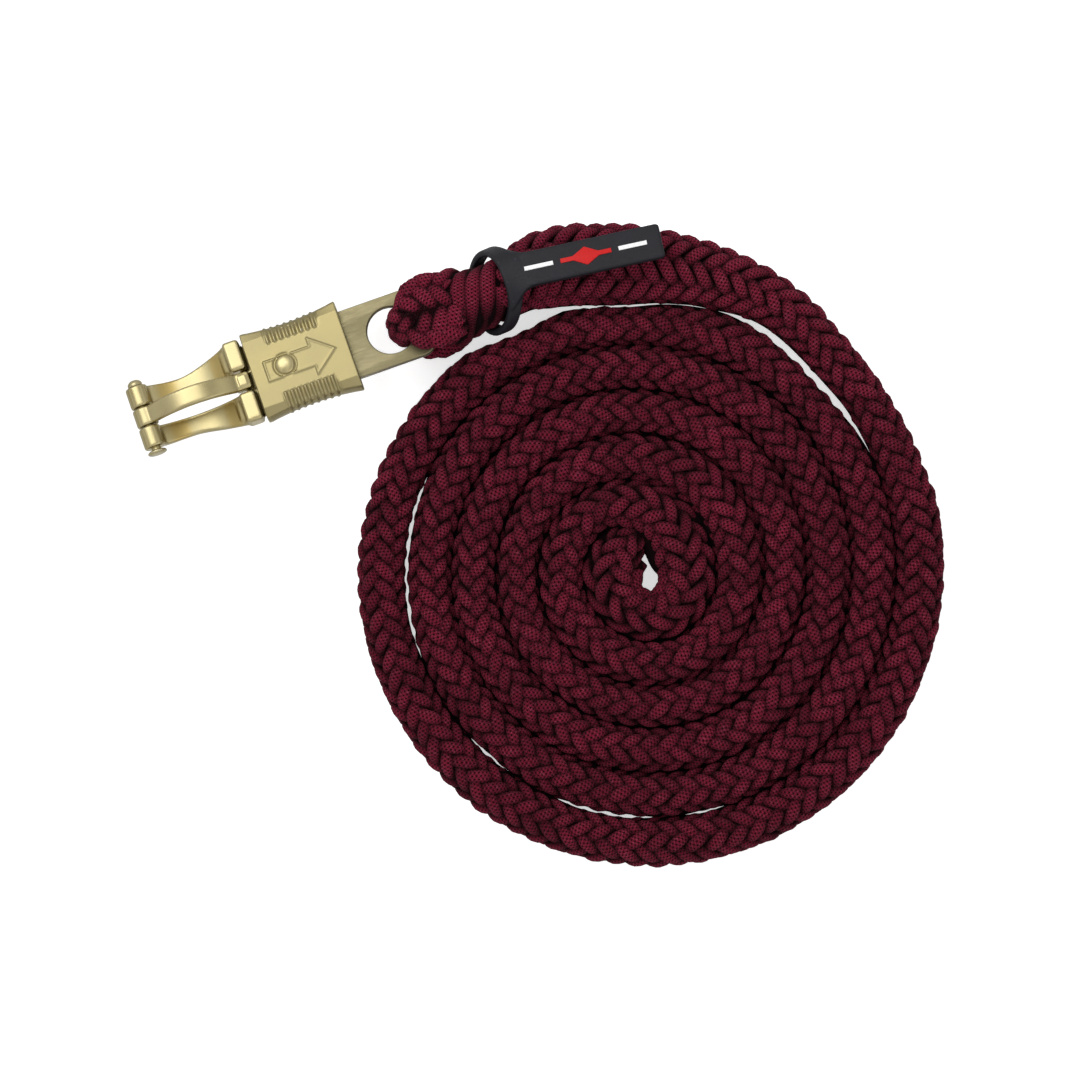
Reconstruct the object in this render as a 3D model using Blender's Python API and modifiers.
"""Lead rope with a quick-release snap, laid in a flat coil.

A round braided rope lies in a flat spiral. Its outer end doubles back through
the eye of a panic snap and is buried inside itself, and a rubber tag hangs on
the throat of that splice. The scene is in metres, +Z up, and the floor is z = 0.
Lengths below are written in millimetres and scaled by MM. Rope positions are
measured from the middle of the coil. The snap has its own frame: X runs from the
jaws (front, -X) to the eye (rear, +X), and parts called "left" lie at +Y.
"""

import math
from collections import namedtuple

import bmesh
import bpy
import numpy as np
from mathutils import Matrix, Vector

MM = 0.001

# ---------------------------------------------------------------- placement
SHIFT_X = 39.97  # moves the middle of the whole object onto the origin
SHIFT_Y = -12.737

# ---------------------------------------------------------------- the rope
ROPE_FREE = 19.3  # diameter of the rope where nothing squeezes it
ROPE_TALL = 20.0  # height of a turn lying in the coil
TURN_GAP = 0.45  # clearance between neighbouring turns
SIDES = 10  # facets round a rope section; the lowest one is flat on the floor
STEP_DEG = 20.0  # spiral angle between two sections

COIL_START = 128.0  # spiral angle of the inner end
SWING_AT = 2182.0  # spiral angle of the first flex point
SPIRAL_END = 2205.0  # the lead leaves the spiral here
LIFT_AT = 139.5  # distance of the second flex point from the end bar

COVER_WALL = 3.6  # thickness of the braided cover
CORE_GAP = 0.35  # clearance between cover and core
BORE_SHRINK = 2 * COVER_WALL  # the bore is this much smaller than the rope
CORE_SHRINK = 2 * (COVER_WALL + CORE_GAP)

FLEX_GAP = 0.8  # clearance of a flex knuckle
LIFT_RADIUS = 9.8  # radius of the second knuckle
JOINT_END = math.radians(46)  # a knuckle is rounded up to this angle
KNUCKLE_CORE_BACK = 0.3  # the core stops this far short of the knuckle's end
PIECE_GAP = 0.01  # clearance where a cut piece of rope starts

# ---------------------------------------------------------------- the snap
SNAP_HEADING = math.radians(19.5)  # heading of its long axis
SNAP_ROLL = math.radians(-10.0)  # it lies rolled about that axis
SNAP_PLACE = (-138.5, 70.3, 14.6)  # middle of the sleeve's mouth
BAR_X = 62.1  # middle of the eye's end bar
THROUGH = 60.0  # length of a cutter that passes right through a part


# ================================================================ scene and objects
def clear_scene():
    for obj in list(bpy.data.objects):
        bpy.data.objects.remove(obj, do_unlink=True)
    for group in list(bpy.data.collections):
        bpy.data.collections.remove(group)


def new_collection(name):
    group = bpy.data.collections.new(name)
    bpy.context.scene.collection.children.link(group)
    return group


clear_scene()
PARTS = new_collection("lead_rope")
CUTTERS = new_collection("cutters")


def place(obj, group, parent=None, matrix=None):
    group.objects.link(obj)
    if parent:
        obj.parent = parent
    if matrix is not None:
        obj.matrix_basis = matrix
    return obj


def add(mesh, mat, parent=None, matrix=None):
    """A visible part, named after its mesh."""
    mesh.materials.append(mat)
    return place(bpy.data.objects.new(mesh.name, mesh), PARTS, parent, matrix)


def cutter(mesh, parent=None, matrix=None):
    """A hidden helper for a boolean, named after its mesh."""
    obj = place(bpy.data.objects.new(mesh.name, mesh), CUTTERS, parent, matrix)
    obj.hide_render = True
    obj.display_type = "WIRE"
    return obj


def empty(name, matrix, parent=None):
    obj = place(bpy.data.objects.new(name, None), PARTS, parent, matrix)
    obj.empty_display_size = 0.01
    return obj


def boolean(obj, helper, operation):
    mod = obj.modifiers.new(operation.lower(), "BOOLEAN")
    mod.operation = operation
    mod.object = helper
    mod.solver = "EXACT"


def cut(obj, helper):
    boolean(obj, helper, "DIFFERENCE")


def join(obj, helper):
    boolean(obj, helper, "UNION")


def smooth(obj, angle=40):
    obj.data.shade_smooth()
    obj.data.set_sharp_from_angle(angle=math.radians(angle))


def move_x(x):
    return Matrix.Translation(Vector((x, 0, 0)) * MM)


def world(x, y, z):
    """Millimetres about the middle of the coil to metres about the origin."""
    return Vector(((x + SHIFT_X) * MM, (y + SHIFT_Y) * MM, z * MM))


# ================================================================ materials
def material(name, colour, roughness, metallic=0.0):
    mat = bpy.data.materials.new(name)
    mat.use_nodes = True
    bsdf = mat.node_tree.nodes["Principled BSDF"]
    bsdf.inputs["Base Color"].default_value = (*colour, 1.0)
    bsdf.inputs["Roughness"].default_value = roughness
    bsdf.inputs["Metallic"].default_value = metallic
    return mat


BURGUNDY = (0.045, 0.006, 0.012)
WINE = (0.03, 0.005, 0.01)
CHAMPAGNE = (0.60, 0.52, 0.30)
DULL_GOLD = (0.42, 0.38, 0.22)
STEEL = (0.55, 0.55, 0.55)
CHARCOAL = (0.035, 0.037, 0.042)
OFF_WHITE = (0.8, 0.8, 0.8)
DEEP_RED = (0.55, 0.03, 0.03)

ROPE = material("braided_rope", BURGUNDY, roughness=0.9)
CORE = material("rope_core_yarn", WINE, roughness=0.95)
CAST = material("satin_gold_casting", CHAMPAGNE, roughness=0.3, metallic=1.0)
PRESSED = material("satin_gold_pressing", CHAMPAGNE, roughness=0.38, metallic=1.0)
PLATE = material("brushed_gold_plate", DULL_GOLD, roughness=0.42, metallic=1.0)
WIRE = material("spring_steel", STEEL, roughness=0.35, metallic=1.0)
RUBBER = material("charcoal_rubber", CHARCOAL, roughness=0.62)
WHITE = material("white_print", OFF_WHITE, roughness=0.6)
RED = material("red_print", DEEP_RED, roughness=0.6)


# ================================================================ mesh helpers
def finish_mesh(bm, name):
    bmesh.ops.recalc_face_normals(bm, faces=bm.faces)
    mesh = bpy.data.meshes.new(name)
    bm.to_mesh(mesh)
    bm.free()
    return mesh


def cylinder_mesh(name, radius, length, sides, axis="Z", centre=(0, 0, 0)):
    """A cylinder about the local Y or Z axis."""
    bm = bmesh.new()
    bmesh.ops.create_cone(
        bm, cap_ends=True, segments=sides,
        radius1=radius * MM, radius2=radius * MM, depth=length * MM,
    )
    turn = Matrix.Rotation(math.pi / 2, 4, "X") if axis == "Y" else Matrix.Identity(4)
    matrix = Matrix.Translation(Vector(centre) * MM) @ turn
    bmesh.ops.transform(bm, matrix=matrix, verts=bm.verts)
    return finish_mesh(bm, name)


def box_mesh(name, low, high, bevel=0.0):
    """A box between two corners."""
    bm = bmesh.new()
    bmesh.ops.create_cube(bm, size=1.0)
    size = Vector(high) - Vector(low)
    middle = (Vector(high) + Vector(low)) / 2
    bmesh.ops.scale(bm, vec=size * MM, verts=bm.verts)
    bmesh.ops.translate(bm, vec=middle * MM, verts=bm.verts)
    if bevel:
        bmesh.ops.bevel(
            bm, geom=bm.edges[:], offset=bevel * MM, segments=2,
            profile=0.5, affect="EDGES",
        )
    return finish_mesh(bm, name)


def evaluated_bmesh(obj):
    """The merged mesh of a temporary object, which is removed with its data."""
    bpy.context.scene.collection.objects.link(obj)
    graph = bpy.context.evaluated_depsgraph_get()
    mesh = bpy.data.meshes.new_from_object(obj.evaluated_get(graph))
    source = obj.data
    bpy.data.objects.remove(obj, do_unlink=True)
    if isinstance(source, bpy.types.Curve):
        bpy.data.curves.remove(source)
    else:
        bpy.data.meshes.remove(source)
    bm = bmesh.new()
    bm.from_mesh(mesh)
    bmesh.ops.remove_doubles(bm, verts=bm.verts, dist=1e-6)
    bpy.data.meshes.remove(mesh)
    return bm


def plate_mesh(name, outline, z0, z1):
    """A flat plate: an (x, y) outline filled and extruded from z0 to z1."""
    curve = bpy.data.curves.new(name, "CURVE")
    curve.dimensions = "2D"
    curve.fill_mode = "BOTH"
    curve.extrude = (z1 - z0) / 2 * MM
    spline = curve.splines.new("POLY")
    spline.points.add(len(outline) - 1)
    for point, (x, y) in zip(spline.points, outline):
        point.co = (x * MM, y * MM, 0, 1)
    spline.use_cyclic_u = True
    bm = evaluated_bmesh(bpy.data.objects.new(name + "_outline", curve))
    bmesh.ops.translate(bm, vec=(0, 0, (z0 + z1) / 2 * MM), verts=bm.verts)
    return finish_mesh(bm, name)


def turned_mesh(name, profile, axis="Z", steps=20):
    """A turned piece: a (radius, height) profile swept about Z, then stood along the axis."""
    mesh = bpy.data.meshes.new(name + "_profile")
    points = [(radius * MM, 0, height * MM) for radius, height in profile]
    mesh.from_pydata(points, [(i, i + 1) for i in range(len(points) - 1)], [])
    obj = bpy.data.objects.new(name + "_profile", mesh)
    mod = obj.modifiers.new("screw", "SCREW")
    mod.steps = mod.render_steps = steps
    mod.use_merge_vertices = True
    mod.merge_threshold = 0.00001
    bm = evaluated_bmesh(obj)
    if axis == "Y":
        bmesh.ops.transform(bm, matrix=Matrix.Rotation(-math.pi / 2, 4, "X"), verts=bm.verts)
    return finish_mesh(bm, name)


def band(bm, ring_a, ring_b):
    """Quads between two rings of vertices."""
    count = len(ring_a)
    for i in range(count):
        j = (i + 1) % count
        bm.faces.new((ring_a[i], ring_a[j], ring_b[j], ring_b[i]))


def skin(bm, sections, closed=False):
    """A skin through sections, which are lists of points in metres."""
    rings = [[bm.verts.new(point) for point in section] for section in sections]
    following = rings[1:] + (rings[:1] if closed else [])
    for ring_a, ring_b in zip(rings, following):
        band(bm, ring_a, ring_b)
    return rings


def loft_mesh(name, sections, closed=False):
    """A solid through sections: capped at both ends, or closed on itself."""
    bm = bmesh.new()
    rings = skin(bm, sections, closed)
    if not closed:
        bm.faces.new(rings[0])
        bm.faces.new(rings[-1])
    return finish_mesh(bm, name)


def arc(centre_x, centre_y, radius, start, end, count):
    """Points on an arc, angles in degrees."""
    angles = [math.radians(start + (end - start) * i / count) for i in range(count + 1)]
    return [(centre_x + radius * math.cos(a), centre_y + radius * math.sin(a)) for a in angles]


def rounded_end(x, half_width, radius, count):
    """The +X end of a strip, from -Y to +Y, with two rounded corners."""
    return [
        *arc(x - radius, -half_width + radius, radius, -90, 0, count),
        *arc(x - radius, half_width - radius, radius, 0, 90, count),
    ]


def rectangle(x0, x1, half_width):
    return [(x0, -half_width), (x1, -half_width), (x1, half_width), (x0, half_width)]


# ================================================================ the spiral
SPIRAL_BASE = 3.57  # radius at spiral angle 0, before waves and bumps
SPIRAL_PITCH = 15.77  # growth of the radius in one turn
# amplitude, waves per turn, phase in degrees: sets the spiral a little off centre
SPIRAL_WAVES = ((4.83, 1, 136.6), (-0.83, 2, 56.6))
# height, spiral angle, spread in degrees: tightens the first turn round the free end
SPIRAL_BUMPS = ((-5.92, 415.0, 55.6), (2.44, 586.0, 205.8))


def coil_radius(angle):
    """Radius of the rope's centreline at a spiral angle in degrees."""
    radius = SPIRAL_BASE + SPIRAL_PITCH * angle / 360.0
    for amplitude, waves, phase in SPIRAL_WAVES:
        radius += amplitude * math.cos(waves * math.radians(angle) - math.radians(phase))
    for height, middle, spread in SPIRAL_BUMPS:
        radius += height * math.exp(-(((angle - middle) / spread) ** 2))
    return radius


def coil_point(angle, radius=None):
    if radius is None:
        radius = coil_radius(angle)
    return (radius * math.cos(math.radians(angle)), radius * math.sin(math.radians(angle)))


def coil_heading(angle):
    (x0, y0), (x1, y1) = coil_point(angle - 0.5), coil_point(angle + 0.5)
    return math.atan2(y1 - y0, x1 - x0)


# ================================================================ the lead's path
# x, y, heading in degrees, between the end of the spiral and the end bar
LEAD_KNOTS = (
    (38.5, 100.2, 153),
    (-3.5, 110.5, 178),
    (-32.0, 110.0, 187),
    (-53.0, 101.6, 203),
)
KNOT_STEPS = 16  # points from one knot to the next

# distance from the end bar, width, height, height of the centreline above the floor
LEAD_SECTIONS = np.array((
    (0.0, 25.0, 25.6, 14.6),
    (6.0, 28.5, 25.6, 14.6),
    (13.0, 28.5, 25.2, 14.9),
    (16.6, 23.2, 22.8, 15.7),
    (27.5, 22.6, 22.6, 15.8),
    (37.5, 23.4, 23.2, 15.0),
    (42.5, 28.0, 24.4, 13.8),
    (52.0, 29.4, 24.4, 12.8),
    (64.0, 29.4, 24.4, 12.4),
    (78.0, 28.6, 24.0, 12.2),
    (92.0, 25.4, 23.0, 11.7),
    (107.0, 22.8, 21.6, 11.0),
    (122.0, 20.2, 20.4, 10.4),
    (LIFT_AT, 18.8, 19.6, 10.0),
    (175.0, 16.4, 19.8, 10.0),
    (400.0, 14.4, 20.0, 10.0),
))

# one oval rope section: its centre, heading in radians, and size
Station = namedtuple("Station", "x y z heading width height")


def hermite(start, start_heading, end, end_heading):
    """A smooth run between two points, without the end point."""
    length = math.dist(start, end)
    points = []
    for i in range(KNOT_STEPS):
        t = i / KNOT_STEPS
        from_start = 2 * t**3 - 3 * t**2 + 1
        leaving = t**3 - 2 * t**2 + t
        to_end = -2 * t**3 + 3 * t**2
        arriving = t**3 - t**2
        points.append(tuple(
            from_start * start[k] + leaving * length * component(start_heading)
            + to_end * end[k] + arriving * length * component(end_heading)
            for k, component in enumerate((math.cos, math.sin))
        ))
    return points


def lead_polyline():
    """From the first flex point to the middle of the eye's end bar."""
    points = [coil_point(SWING_AT + i) for i in range(int(SPIRAL_END - SWING_AT))]
    bar = Vector(SNAP_PLACE) + Matrix.Rotation(SNAP_HEADING, 3, "Z") @ Vector((BAR_X, 0, 0))
    knots = [
        (coil_point(SPIRAL_END), coil_heading(SPIRAL_END)),
        *(((x, y), math.radians(heading)) for x, y, heading in LEAD_KNOTS),
        ((bar.x, bar.y), SNAP_HEADING + math.pi),
    ]
    for start, end in zip(knots, knots[1:]):
        points += hermite(*start, *end)
    points.append(knots[-1][0])
    return np.array(points)


LEAD = lead_polyline()
LEAD_ALONG = np.concatenate([[0.0], np.cumsum(np.hypot(*np.diff(LEAD, axis=0).T))])
LEAD_LENGTH = float(LEAD_ALONG[-1])


def lead_point(along):
    return [float(np.interp(along, LEAD_ALONG, LEAD[:, k])) for k in (0, 1)]


def lead_station(distance, shrink=0.0):
    """The section at a distance from the end bar, measured back along the rope."""
    along = LEAD_LENGTH - distance
    x, y = lead_point(along)
    x0, y0 = lead_point(along - 1.5)
    x1, y1 = lead_point(along + 1.5)
    width, height, z = (
        float(np.interp(distance, LEAD_SECTIONS[:, 0], LEAD_SECTIONS[:, k])) for k in (1, 2, 3)
    )
    return Station(x, y, z, math.atan2(y1 - y0, x1 - x0), width - shrink, height - shrink)


def moved(section, ahead, scale=1.0):
    """A section carried along its own heading and scaled about its centre."""
    return section._replace(
        x=section.x + ahead * math.cos(section.heading),
        y=section.y + ahead * math.sin(section.heading),
        width=section.width * scale,
        height=section.height * scale,
    )


def ring_points(section):
    """Points of an upright oval, square to its heading, with a flat lowest facet."""
    side = Vector((-math.sin(section.heading), math.cos(section.heading), 0))
    rise = section.height / 2 / math.cos(math.pi / SIDES)
    points = []
    for k in range(SIDES):
        angle = 2 * math.pi * (k + 0.5) / SIDES - math.pi / 2
        point = Vector((section.x, section.y, section.z))
        point = point + side * (section.width / 2 * math.cos(angle))
        point.z += rise * math.sin(angle)
        points.append(world(*point))
    return points


def rope_mesh(name, sections):
    return loft_mesh(name, [ring_points(section) for section in sections])


def rope_tube_mesh(name, outer, bore, closed_start=False):
    """A rope with a bore; a closed start is capped both outside and in the bore."""
    bm = bmesh.new()
    outer_rings = skin(bm, [ring_points(section) for section in outer])
    bore_rings = skin(bm, [ring_points(section) for section in bore])
    if closed_start:
        bm.faces.new(outer_rings[0])
        bm.faces.new(bore_rings[0])
    band(bm, outer_rings[-1], bore_rings[-1])
    if not closed_start:
        band(bm, outer_rings[0], bore_rings[0])
    return finish_mesh(bm, name)


# ================================================================ the tag's ring and place
TAG_AT = 27.5  # distance of the ring behind the end bar, along the rope
TAG_RING_R = 13.6  # radius of the middle of the band
TAG_RING_HALF_T, TAG_RING_HALF_W = 1.3, 2.7
TAG_SPAN = 13.0  # the ring takes room this far each way along the rope
TAG_ROOM = 1.8  # extra width kept free round the ring


# ================================================================ the coil
END_R = 8.5  # rounding of the free inner end
END_ANGLES = (75, 50, 25)  # sections of that rounding, in degrees


def lead_inner_edge():
    """(angle in degrees, radius) of the side of the lead that faces the coil."""
    rows = []
    for distance in np.linspace(12.0, LEAD_LENGTH, 70):
        section = lead_station(distance)
        width = section.width
        if abs(distance - TAG_AT) < TAG_SPAN:
            width = 2 * (TAG_RING_R + TAG_RING_HALF_T) + TAG_ROOM
        x = section.x + math.sin(section.heading) * -width / 2
        y = section.y + math.cos(section.heading) * width / 2
        rows.append((math.degrees(math.atan2(y, x)), math.hypot(x, y)))
    return np.array(sorted(rows))


INNER_EDGE = lead_inner_edge()


def coil_station(angle, shrink=0.0):
    """The section of a turn at a spiral angle, squeezed between its neighbours."""
    centre = coil_radius(angle)
    low, high = centre - ROPE_FREE / 2, centre + ROPE_FREE / 2
    if angle - 360 >= COIL_START - 12:
        low = max(low, (centre + coil_radius(angle - 360)) / 2 + TURN_GAP / 2)
    if angle + 360 <= SPIRAL_END - 15:
        high = min(high, (centre + coil_radius(angle + 360)) / 2 - TURN_GAP / 2)
    elif angle + 360 <= SPIRAL_END + 150:
        # here the lead is the outer neighbour
        edge = np.interp(angle % 360, INNER_EDGE[:, 0], INNER_EDGE[:, 1])
        high = min(high, float(edge) - TURN_GAP)
    x, y = coil_point(angle, (low + high) / 2)
    width = high - low
    return Station(
        x, y, ROPE_TALL / 2, coil_heading(angle), width - shrink, ROPE_TALL - shrink
    )


def coil_angles():
    """Spiral angles of the sections, counted back from the first flex point."""
    count = int((SWING_AT - COIL_START) / STEP_DEG)
    first = SWING_AT - count * STEP_DEG
    return [first + i * STEP_DEG for i in range(count + 1)]


SWING = coil_station(SWING_AT)
SWING_RADIUS = SWING.width / 2  # radius of the first knuckle


def build_coil():
    angles = coil_angles()
    start, end = angles[0], angles[-1]
    joint_reach = SWING_RADIUS * math.sin(JOINT_END)

    outer = []
    for degrees in END_ANGLES:
        turn = math.radians(degrees)
        outer.append(moved(coil_station(start), -END_R * math.sin(turn), math.cos(turn)))
    outer += [coil_station(angle) for angle in angles]
    for turn in (JOINT_END / 2, JOINT_END):
        outer.append(moved(coil_station(end), SWING_RADIUS * math.sin(turn), math.cos(turn)))

    bore = [coil_station(angle, BORE_SHRINK) for angle in angles]
    bore.append(moved(coil_station(end, BORE_SHRINK), joint_reach))

    core = [coil_station(angle, CORE_SHRINK) for angle in angles]
    core[0] = moved(core[0], CORE_GAP)
    core.append(moved(coil_station(end, CORE_SHRINK), joint_reach - KNUCKLE_CORE_BACK))

    smooth(add(rope_tube_mesh("rope_cover_coil", outer, bore, closed_start=True), ROPE))
    smooth(add(rope_mesh("rope_core_coil", core), CORE))


# ================================================================ the link between flex points
def lift_end(turn, shrink=0.0, back=0.0):
    """A section of the link's end, an angle round the second knuckle; only the outside narrows."""
    scale = 1.0 if shrink else math.cos(turn)
    return moved(lead_station(LIFT_AT, shrink), LIFT_RADIUS * math.sin(turn) - back, scale)


def build_link():
    distances = np.linspace(LEAD_LENGTH - PIECE_GAP, LIFT_AT, 11)
    outer = [lead_station(d) for d in distances]
    outer += [lift_end(JOINT_END / 2), lift_end(JOINT_END)]
    bore = [lead_station(d, BORE_SHRINK) for d in distances]
    bore.append(lift_end(JOINT_END, BORE_SHRINK))
    core = [lead_station(d, CORE_SHRINK) for d in distances]
    core.append(lift_end(JOINT_END, CORE_SHRINK, KNUCKLE_CORE_BACK))

    swing_cutter = cutter(
        cylinder_mesh("swing_knuckle_cutter", SWING_RADIUS + FLEX_GAP, THROUGH, 40),
        matrix=Matrix.Translation(world(SWING.x, SWING.y, ROPE_TALL / 2)),
    )
    cut(add(rope_tube_mesh("rope_cover_link", outer, bore), ROPE), swing_cutter)
    cut(add(rope_mesh("rope_core_link", core), CORE), swing_cutter)


# ================================================================ the spliced lead
THROAT = 29.0  # the cover of the lead ends here, inside the tag's ring
TAIL_START, TAIL_TAPER = 120.0, 20.0  # start of the buried tail, length of its taper
TAIL_TIP = 0.35  # size of the tail's tip, as a share of the full tail
COLLAR_END = 13.3
SPLICE_GAP = 0.35  # clearance between cover, collar and eye

# distances of the sections from the end bar
SPLICE_END = (92, 85, 78, 71, 64, 57, 50, 42.5, 37.5, THROAT)
COVER_DISTANCES = (LIFT_AT - PIECE_GAP, 131, 122, 114, 107, 99, *SPLICE_END)
TAIL_DISTANCES = (TAIL_START, 114, 107, TAIL_START - TAIL_TAPER, *SPLICE_END)
COLLAR_DISTANCES = (THROAT - SPLICE_GAP, 23, 16.6, 15.0, COLLAR_END)
EYE_DISTANCES = (COLLAR_END - SPLICE_GAP, 10, 6, 3, 0.0)

TUNNEL_R = 3.65  # room for the end bar to turn
BIGHT_R = 8.25  # from the end bar to the middle of the rope
BIGHT_HALF_T, BIGHT_HALF_W = 4.55, 6.3
BIGHT_SIDES = 12

SNAP_FRAME = (
    Matrix.Translation(world(*SNAP_PLACE))
    @ Matrix.Rotation(SNAP_HEADING, 4, "Z")
    @ Matrix.Rotation(SNAP_ROLL, 4, "X")
)


def build_lead_cover():
    outer = [lead_station(d) for d in COVER_DISTANCES]
    bore = [lead_station(d, BORE_SHRINK) for d in COVER_DISTANCES]
    lift = lead_station(LIFT_AT)
    lift_cutter = cutter(
        cylinder_mesh("lift_knuckle_cutter", LIFT_RADIUS + FLEX_GAP, THROUGH, 40, "Y"),
        matrix=Matrix.Translation(world(lift.x, lift.y, ROPE_TALL / 2))
        @ Matrix.Rotation(lift.heading, 4, "Z"),
    )
    cut(add(rope_tube_mesh("rope_cover_lead", outer, bore), ROPE), lift_cutter)


def build_buried_tail():
    sections = []
    for distance in TAIL_DISTANCES:
        share = min(1.0, (TAIL_START - distance) / TAIL_TAPER)
        scale = TAIL_TIP + (1 - TAIL_TIP) * share
        sections.append(moved(lead_station(distance, CORE_SHRINK), 0.0, scale))
    smooth(add(rope_mesh("rope_buried_tail", sections), ROPE))


def build_collar():
    sections = [lead_station(d) for d in COLLAR_DISTANCES]
    smooth(add(rope_mesh("rope_splice_collar", sections), ROPE))


def bight_mesh():
    """The front of the eye: an oval section carried round the end bar, in the snap's frame."""
    sections = []
    for i in range(13):
        turn = math.radians(75 + 210 * i / 12)
        out = Vector((math.cos(turn), 0, math.sin(turn)))
        section = []
        for k in range(BIGHT_SIDES):
            angle = 2 * math.pi * k / BIGHT_SIDES
            across = Vector((0, BIGHT_HALF_W * math.sin(angle), 0))
            point = out * (BIGHT_R + BIGHT_HALF_T * math.cos(angle)) + across
            section.append((point + Vector((BAR_X, 0, 0))) * MM)
        sections.append(section)
    return loft_mesh("bight_joined_to_eye", sections)


def build_eye_loop():
    """The rope behind the end bar, the bight in front of it, and the bar's tunnel."""
    eye = add(rope_mesh("rope_eye_loop", [lead_station(d) for d in EYE_DISTANCES]), ROPE)
    tunnel = cylinder_mesh("end_bar_tunnel", TUNNEL_R, THROUGH, 24, "Y", (BAR_X, 0, 0))
    join(eye, cutter(bight_mesh(), matrix=SNAP_FRAME))
    cut(eye, cutter(tunnel, matrix=SNAP_FRAME))


# ================================================================ the snap's eye plate
PLATE_HALF_W, PLATE_T = 12.55, 3.0
PLATE_FRONT, PLATE_END, PLATE_CORNER = 1.6, 65.1, 6.0
EYE_X, EYE_R = 50.75, 8.4
SLOT_X0, SLOT_X1, SLOT_HALF = 9.3, 33.0, 2.9
JAW_RIVET_X, JAW_RIVET_Y, JAW_RIVET_HOLE_R = 5.2, 8.5, 1.5
DRILL = 12.0  # length of a cutter through the plate
SIDE_NAMES = ((1, "left"), (-1, "right"))


def jaw_rivet_hole(name, side, snap):
    centre = (JAW_RIVET_X, side * JAW_RIVET_Y, 0)
    return cutter(cylinder_mesh(name, JAW_RIVET_HOLE_R, DRILL, 16, centre=centre), snap)


def build_eye_plate(snap):
    """A flat strip with a round eye at the rear and the guide slot under the sleeve."""
    outline = [
        (PLATE_FRONT, -PLATE_HALF_W),
        *rounded_end(PLATE_END, PLATE_HALF_W, PLATE_CORNER, 6),
        (PLATE_FRONT, PLATE_HALF_W),
    ]
    plate = add(plate_mesh("eye_plate", outline, -PLATE_T / 2, PLATE_T / 2), PLATE, snap)
    cut(plate, cutter(cylinder_mesh("eye_hole", EYE_R, DRILL, 40, centre=(EYE_X, 0, 0)), snap))
    slot = rectangle(SLOT_X0, SLOT_X1, SLOT_HALF)
    cut(plate, cutter(plate_mesh("guide_slot", slot, -5, 5), snap))
    for side, word in SIDE_NAMES:
        cut(plate, jaw_rivet_hole("plate_rivet_hole_" + word, side, snap))
    smooth(plate)


# ================================================================ the snap's jaws
KNUCKLE_X, KNUCKLE_R = -40.3, 3.9  # the hinge at the jaws' front end
PIN_R, HOLE_GAP = 1.7, 0.3
KNUCKLE_SIDES, PIN_HOLE_SIDES = 28, 20
JAW_REAR = -1.05
BOW_REAR = -6.5  # rear end of the bowed bars
BOW_STEPS = 14
BOW_POWER = 0.85  # below 1 it makes the bow fuller towards its ends
BAR_INSET = 0.12  # a bowed bar is this much narrower than its knuckle on each side

FORK_BOW, FORK_DROP, FORK_T = -6.2, -0.4, 3.3  # bow, height at the rear, thickness
FORK_IN, FORK_TIP_OUT, FORK_REAR_OUT = 3.75, 11.4, 14.9  # half widths
FLARE_FROM, FLARE_POWER, FLARE_SHARE = 0.45, 1.6, 0.9  # widening towards the rear
WAIST_OUT, WAIST_IN = 0.5, 0.9  # narrowing of a prong at its middle, on each side

NECK_Z0, NECK_Z1, NECK_HALF_W = -3.85, -1.85, 13.2
NECK_X0, NECK_X1 = -4.0, 8.6
SHOULDER_FRONT, SHOULDER_Z0, SHOULDER_Z1 = -7.0, -4.6, 4.4
SHOULDER_INSET, SHOULDER_BEVEL = 0.7, 1.1

GATE_HALF_W = 3.3
GATE_BOW, GATE_LIFT, GATE_T = 7.6, 2.2, 2.9  # bow, height at the rear, thickness
HEEL_INSET = 0.25
# x, z in the snap's frame
HEEL_OUTLINE = (
    (-7.2, -1.2), (0.65, -1.2), (0.55, 0.35), (JAW_REAR, 0.45), (JAW_REAR, 4.0), (-7.2, 4.0),
)


def bowed_line(depth, rear_z):
    """Centreline of a bowed bar from hinge to shoulder: rows of (share of length, x, z, up)."""
    line = []
    for i in range(BOW_STEPS + 1):
        t = i / BOW_STEPS
        x = KNUCKLE_X + (BOW_REAR - KNUCKLE_X) * t
        line.append((x, depth * math.sin(math.pi * t) ** BOW_POWER + rear_z * t))
    rows = []
    for i, (x, z) in enumerate(line):
        (x0, z0), (x1, z1) = line[max(i - 1, 0)], line[min(i + 1, BOW_STEPS)]
        run = Vector((x1 - x0, 0, z1 - z0)).normalized()
        rows.append((i / BOW_STEPS, x, z, Vector((-run.z, 0, run.x))))
    return rows


def bar_section(x, z, up, y0, y1, thickness):
    """A rectangular section between y0 and y1, square to the bar."""
    half = thickness / 2
    corners = ((y0, -half), (y1, -half), (y1, half), (y0, half))
    return [(Vector((x, y, z)) + up * rise) * MM for y, rise in corners]


def prong_mesh(name, side):
    """One prong: bowed in side view, waisted and flared seen from above."""
    flare_full = (1 - FLARE_FROM) ** FLARE_POWER
    sections = []
    for t, x, z, up in bowed_line(FORK_BOW, FORK_DROP):
        waist = math.sin(math.pi * t) ** 2
        flare = max(0.0, t - FLARE_FROM) ** FLARE_POWER
        outside = FORK_TIP_OUT + (FORK_REAR_OUT - FORK_TIP_OUT) * flare / flare_full * FLARE_SHARE
        outside -= BAR_INSET + WAIST_OUT * waist
        inside = FORK_IN + BAR_INSET + WAIST_IN * waist
        sections.append(bar_section(x, z, up, side * inside, side * outside, FORK_T))
    return loft_mesh(name, sections)


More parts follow.
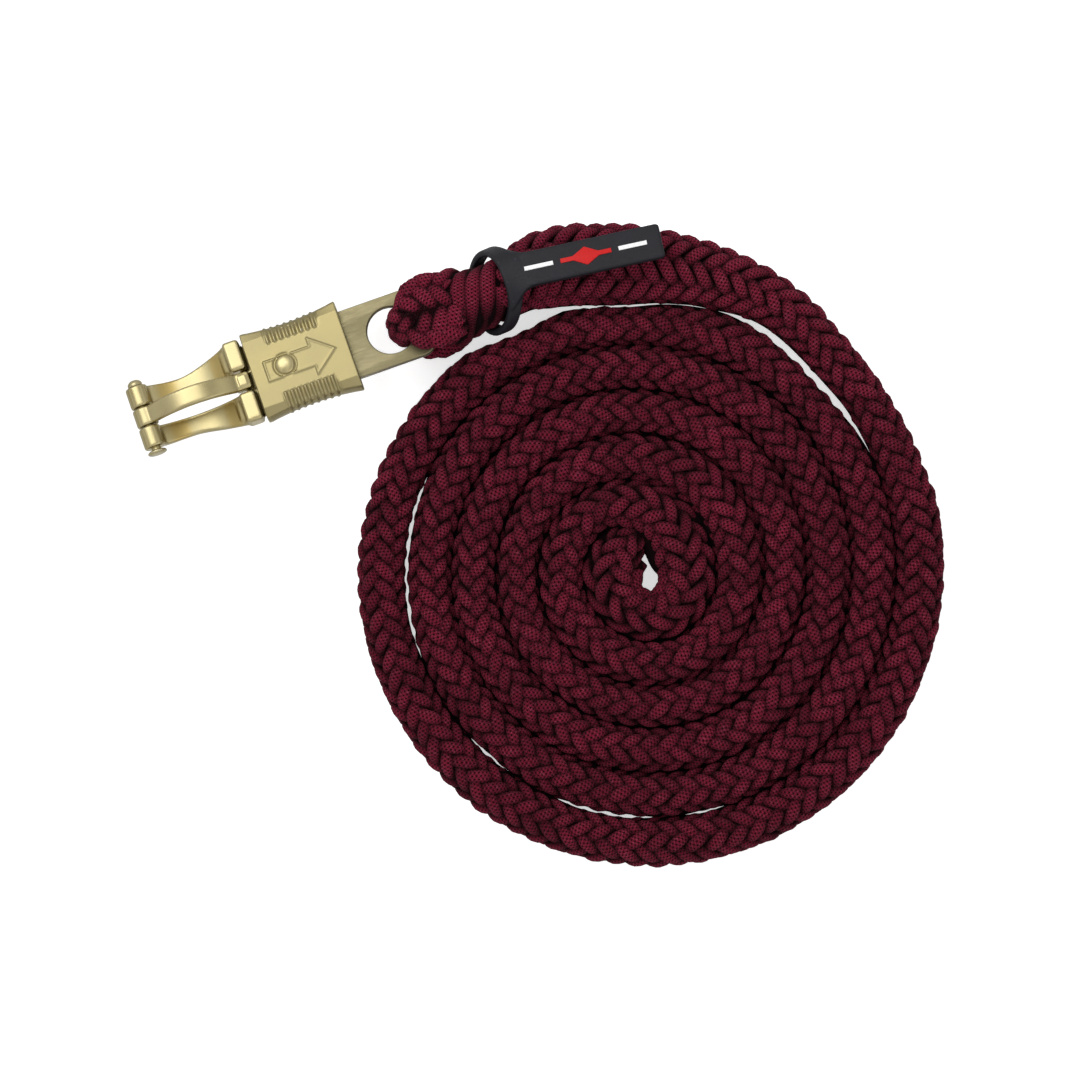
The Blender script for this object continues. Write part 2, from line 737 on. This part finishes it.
def build_fork(snap):
    """Two bowed prongs with barrel tips, shoulders, and a neck held under the plate."""
    neck_low = (NECK_X0, -NECK_HALF_W, NECK_Z0)
    neck_high = (NECK_X1, NECK_HALF_W, NECK_Z1)
    fork = add(box_mesh("fork_jaw", neck_low, neck_high), CAST, snap)
    for side, word in SIDE_NAMES:
        low, high = sorted((side * FORK_IN, side * FORK_TIP_OUT))
        barrel = cylinder_mesh(
            "barrel_" + word, KNUCKLE_R, high - low, KNUCKLE_SIDES, "Y",
            (KNUCKLE_X, (low + high) / 2, 0),
        )
        low, high = sorted((side * (FORK_IN + SHOULDER_INSET), side * FORK_REAR_OUT))
        shoulder = box_mesh(
            "shoulder_" + word, (SHOULDER_FRONT, low, SHOULDER_Z0),
            (JAW_REAR, high, SHOULDER_Z1), SHOULDER_BEVEL,
        )
        for mesh in (prong_mesh("prong_" + word, side), barrel, shoulder):
            join(fork, cutter(mesh, snap))
        cut(fork, jaw_rivet_hole("fork_rivet_hole_" + word, side, snap))
    pin_hole = cylinder_mesh(
        "pin_hole", PIN_R + HOLE_GAP, THROUGH, PIN_HOLE_SIDES, "Y", (KNUCKLE_X, 0, 0)
    )
    cut(fork, cutter(pin_hole, snap))
    smooth(fork, 30)


def build_gate(snap):
    """The bowed centre arm that the sleeve traps; its parent empty is on the hinge pin."""
    hinge = empty("gate_hinge_axis", move_x(KNUCKLE_X), snap)
    half_width = GATE_HALF_W - BAR_INSET
    sections = [
        bar_section(x - KNUCKLE_X, z, up, -half_width, half_width, GATE_T)
        for _, x, z, up in bowed_line(GATE_BOW, GATE_LIFT)
    ]
    gate = add(loft_mesh("gate_arm", sections), CAST, hinge)
    knuckle = cylinder_mesh("gate_knuckle", KNUCKLE_R, 2 * GATE_HALF_W, KNUCKLE_SIDES, "Y")
    outline = [(x - KNUCKLE_X, z) for x, z in HEEL_OUTLINE]
    heel = plate_mesh("gate_heel", outline, -GATE_HALF_W + HEEL_INSET, GATE_HALF_W - HEEL_INSET)
    heel.transform(Matrix.Rotation(math.pi / 2, 4, "X"))
    join(gate, cutter(knuckle, hinge))
    join(gate, cutter(heel, hinge))
    hole = cylinder_mesh("gate_pin_hole", PIN_R + HOLE_GAP, THROUGH, PIN_HOLE_SIDES, "Y")
    cut(gate, cutter(hole, hinge))
    smooth(gate, 30)


# profiles of the turned parts: radius, height, top to bottom
# hinge pin: low dome at its +Y end, wider flat head at its -Y end
PIN_PROFILE = (
    (0.0, 13.9), (1.3, 13.7), (2.2, 13.1), (2.6, 12.2), (2.6, 11.75), (PIN_R, 11.75),
    (PIN_R, -12.3), (2.9, -12.6), (3.4, -13.0), (3.4, -13.4), (0.0, -13.7),
)
JAW_RIVET_PROFILE = (
    (0.0, 3.1), (1.5, 2.95), (2.1, 2.4), (2.1, 1.85), (1.2, 1.85), (1.2, NECK_Z0), (0.0, NECK_Z0),
)


def build_hinge_pin(snap):
    smooth(add(turned_mesh("hinge_pin", PIN_PROFILE, "Y"), CAST, snap, move_x(KNUCKLE_X)))


def build_jaw_rivets(snap):
    """The two rivets that hold the fork's neck to the plate."""
    for side, word in SIDE_NAMES:
        mesh = turned_mesh("jaw_rivet_" + word, JAW_RIVET_PROFILE, steps=16)
        matrix = Matrix.Translation(Vector((JAW_RIVET_X, side * JAW_RIVET_Y, 0)) * MM)
        smooth(add(mesh, CAST, snap, matrix))


# ================================================================ the sliding sleeve
SLEEVE_L, SLEEVE_HALF_W, SLEEVE_T, SLEEVE_WALL = 35.2, 16.1, 10.4, 1.2
SLEEVE_WAIST = 1.2  # narrowing of each side at mid length
SLEEVE_CORNER = 1.6
SLEEVE_STEPS = 12
INSIDE_OVERSHOOT = 2  # the inside cutter reaches past both mouths
RIBS, RIB_X0, RIB_STEP = 8, 9.0, 2.5
RIB_IN, RIB_OUT = 9.4, 15.25  # the ribs lie between these distances from the axis
RIB_HALF_L, RIB_HALF_H, RIB_BEVEL = 0.6, 5.5, 0.25
GUIDE_X, GUIDE_R = 12.1, 2.0  # the guide rivet and its shank

# radius, height, top to bottom: domed head, shank through the slot, flat lower head
GUIDE_PROFILE = (
    (0.0, 7.3), (1.4, 7.15), (2.5, 6.7), (3.2, 6.0), (3.3, 5.5), (GUIDE_R, 5.5),
    (GUIDE_R, -5.5), (2.9, -5.5), (2.9, -5.9), (0.0, -6.2),
)

SPRING_R, SPRING_WIRE_R, SPRING_TURNS = 2.1, 0.3, 7
SPRING_POINTS = 8  # points per turn
SPRING_GAP = 0.5  # clearance at each end


def sleeve_mesh():
    """The sleeve's outside: rounded oblong sections, narrower at the waist."""
    corner = SLEEVE_CORNER
    y_z = SLEEVE_T / 2 - corner
    sections = []
    for i in range(SLEEVE_STEPS + 1):
        x = SLEEVE_L * i / SLEEVE_STEPS
        waist = SLEEVE_WAIST * math.sin(math.pi * i / SLEEVE_STEPS) ** 0.7
        across = SLEEVE_HALF_W - waist - corner
        outline = [
            *arc(across, y_z, corner, 0, 90, 3),
            *arc(-across, y_z, corner, 90, 180, 3),
            *arc(-across, -y_z, corner, 180, 270, 3),
            *arc(across, -y_z, corner, 270, 360, 3),
        ]
        sections.append([Vector((x, y, z)) * MM for y, z in outline])
    return loft_mesh("sliding_sleeve", sections)


def rib_mesh(index, side):
    x = RIB_X0 + index * RIB_STEP
    low, high = sorted((side * RIB_IN, side * RIB_OUT))
    return box_mesh(
        "rib_%d_%d" % (index, side > 0),
        (x - RIB_HALF_L, low, -RIB_HALF_H), (x + RIB_HALF_L, high, RIB_HALF_H), RIB_BEVEL,
    )


def build_sleeve(slide):
    """A flat tube with waisted sides and finger ribs."""
    sleeve = add(sleeve_mesh(), PRESSED, slide)
    for i in range(RIBS):
        for side in (-1, 1):
            join(sleeve, cutter(rib_mesh(i, side), slide))
    half_width = SLEEVE_HALF_W - SLEEVE_WAIST - SLEEVE_WALL
    half_height = SLEEVE_T / 2 - SLEEVE_WALL
    inside = box_mesh(
        "sleeve_inside",
        (-INSIDE_OVERSHOOT, -half_width, -half_height),
        (SLEEVE_L + INSIDE_OVERSHOOT, half_width, half_height),
    )
    cut(sleeve, cutter(inside, slide))
    bore = cylinder_mesh(
        "sleeve_rivet_bore", GUIDE_R + HOLE_GAP, 30, 20, centre=(GUIDE_X, 0, 0)
    )
    cut(sleeve, cutter(bore, slide))
    smooth(sleeve, 30)


def build_guide_rivet(slide):
    smooth(add(turned_mesh("guide_rivet", GUIDE_PROFILE), CAST, slide, move_x(GUIDE_X)))


def build_spring(snap):
    """The return spring, in the slot between the guide rivet and the slot's rear end."""
    curve = bpy.data.curves.new("return_spring", "CURVE")
    curve.dimensions = "3D"
    curve.bevel_depth = SPRING_WIRE_R * MM
    curve.bevel_resolution = 1
    curve.use_fill_caps = True
    count = SPRING_TURNS * SPRING_POINTS
    spline = curve.splines.new("POLY")
    spline.points.add(count)
    front = GUIDE_X + GUIDE_R + SPRING_GAP
    rear = SLOT_X1 - SPRING_GAP
    for i in range(count + 1):
        angle = 2 * math.pi * i / SPRING_POINTS
        x = front + SPRING_WIRE_R + (rear - front - 2 * SPRING_WIRE_R) * (i / count)
        y = SPRING_R * math.cos(angle)
        z = SPRING_R * math.sin(angle)
        spline.points[i].co = (x * MM, y * MM, z * MM, 1)
    curve.materials.append(WIRE)
    place(bpy.data.objects.new("return_spring", curve), PARTS, snap)


def build_snap():
    snap = empty("snap_frame", SNAP_FRAME)
    build_eye_plate(snap)
    build_fork(snap)
    build_gate(snap)
    build_hinge_pin(snap)
    build_jaw_rivets(snap)
    slide = empty("sleeve_slide_axis", Matrix.Identity(4), snap)
    build_sleeve(slide)
    build_guide_rivet(slide)
    build_spring(snap)


# ================================================================ the rubber tag
TAG_ROLL = math.radians(-17.0)
TAG_LEAN = math.radians(28.0)
STRIP_HEADING = math.radians(12.5)  # the strip points this way, seen from above
STRIP_PITCH = math.radians(2.5)  # the strip dips towards its free end
STRIP_X0, STRIP_X1, STRIP_HALF_W = 5.0, 60.5, 6.3
STRIP_Z0, STRIP_Z1 = 12.7, 15.5
STRIP_CORNER = 1.2  # rounding at the free end
STRIP_TAPER_L, STRIP_TAPER_W = 3.0, 1.5  # cut corners at the ring's end
NECK_LOW, NECK_HIGH = (4.9, -5.2, 12.45), (11.5, 5.2, 15.2)  # block joining strip and ring
RING_STEPS = 36

# section of the ring: along the rope, outwards, as shares of the half width and thickness
RING_SECTION = (
    (-1.0, -0.6), (-0.75, -1.0), (0.75, -1.0), (1.0, -0.6),
    (1.0, 0.6), (0.75, 1.0), (-0.75, 1.0), (-1.0, 0.6),
)

PRINT_Z0, PRINT_Z1 = STRIP_Z1 + 0.3, STRIP_Z1 + 0.6
DASH_HALF_W = 0.75
# x, y in the strip's frame
EMBLEM = (
    (24.6, -0.8), (29.0, -0.8), (33.6, -3.4), (38.2, -0.8), (42.6, -0.8),
    (42.6, 0.8), (38.2, 0.8), (33.6, 3.4), (29.0, 0.8), (24.6, 0.8),
)


def tag_ring_mesh():
    """A leaning band round the rope, its top shifted towards the strip."""
    sections = []
    for i in range(RING_STEPS):
        angle = 2 * math.pi * i / RING_STEPS
        out = Vector((0, math.cos(angle), math.sin(angle)))
        shift = TAG_RING_R * math.sin(angle) * math.tan(TAG_LEAN)
        middle = out * TAG_RING_R + Vector((shift, 0, 0))
        sections.append([
            (middle + Vector((u * TAG_RING_HALF_W, 0, 0)) + out * (v * TAG_RING_HALF_T)) * MM
            for u, v in RING_SECTION
        ])
    return loft_mesh("rubber_tag", sections, closed=True)


def build_tag_body(turn_axis, strip_frame):
    tag = add(tag_ring_mesh(), RUBBER, turn_axis)
    narrow = STRIP_HALF_W - STRIP_TAPER_W
    taper_end = STRIP_X0 + STRIP_TAPER_L
    outline = [
        (STRIP_X0, -narrow),
        (taper_end, -STRIP_HALF_W),
        *rounded_end(STRIP_X1, STRIP_HALF_W, STRIP_CORNER, 3),
        (taper_end, STRIP_HALF_W),
        (STRIP_X0, narrow),
    ]
    join(tag, cutter(box_mesh("tag_neck", NECK_LOW, NECK_HIGH), strip_frame))
    join(tag, cutter(plate_mesh("tag_strip", outline, STRIP_Z0, STRIP_Z1), strip_frame))
    smooth(tag, 35)


def build_tag_print(strip_frame):
    for name, outline, mat in (
        ("tag_dash_front", rectangle(11.8, 22.0, DASH_HALF_W), WHITE),
        ("tag_dash_rear", rectangle(45.2, 55.2, DASH_HALF_W), WHITE),
        ("tag_emblem", EMBLEM, RED),
    ):
        add(plate_mesh(name, outline, PRINT_Z0, PRINT_Z1), mat, strip_frame)


def build_tag():
    throat = lead_station(TAG_AT)
    turn = throat.heading - math.pi  # along the rope at the throat, away from the snap
    turn_axis = empty(
        "tag_turn_axis",
        Matrix.Translation(world(throat.x, throat.y, throat.z))
        @ Matrix.Rotation(turn, 4, "Z")
        @ Matrix.Rotation(TAG_ROLL, 4, "X"),
    )
    strip_frame = empty(
        "tag_strip_frame",
        Matrix.Rotation(STRIP_HEADING - turn, 4, "Z") @ Matrix.Rotation(STRIP_PITCH, 4, "Y"),
        turn_axis,
    )
    build_tag_body(turn_axis, strip_frame)
    build_tag_print(strip_frame)


build_coil()
build_link()
build_lead_cover()
build_buried_tail()
build_collar()
build_eye_loop()
build_snap()
build_tag()
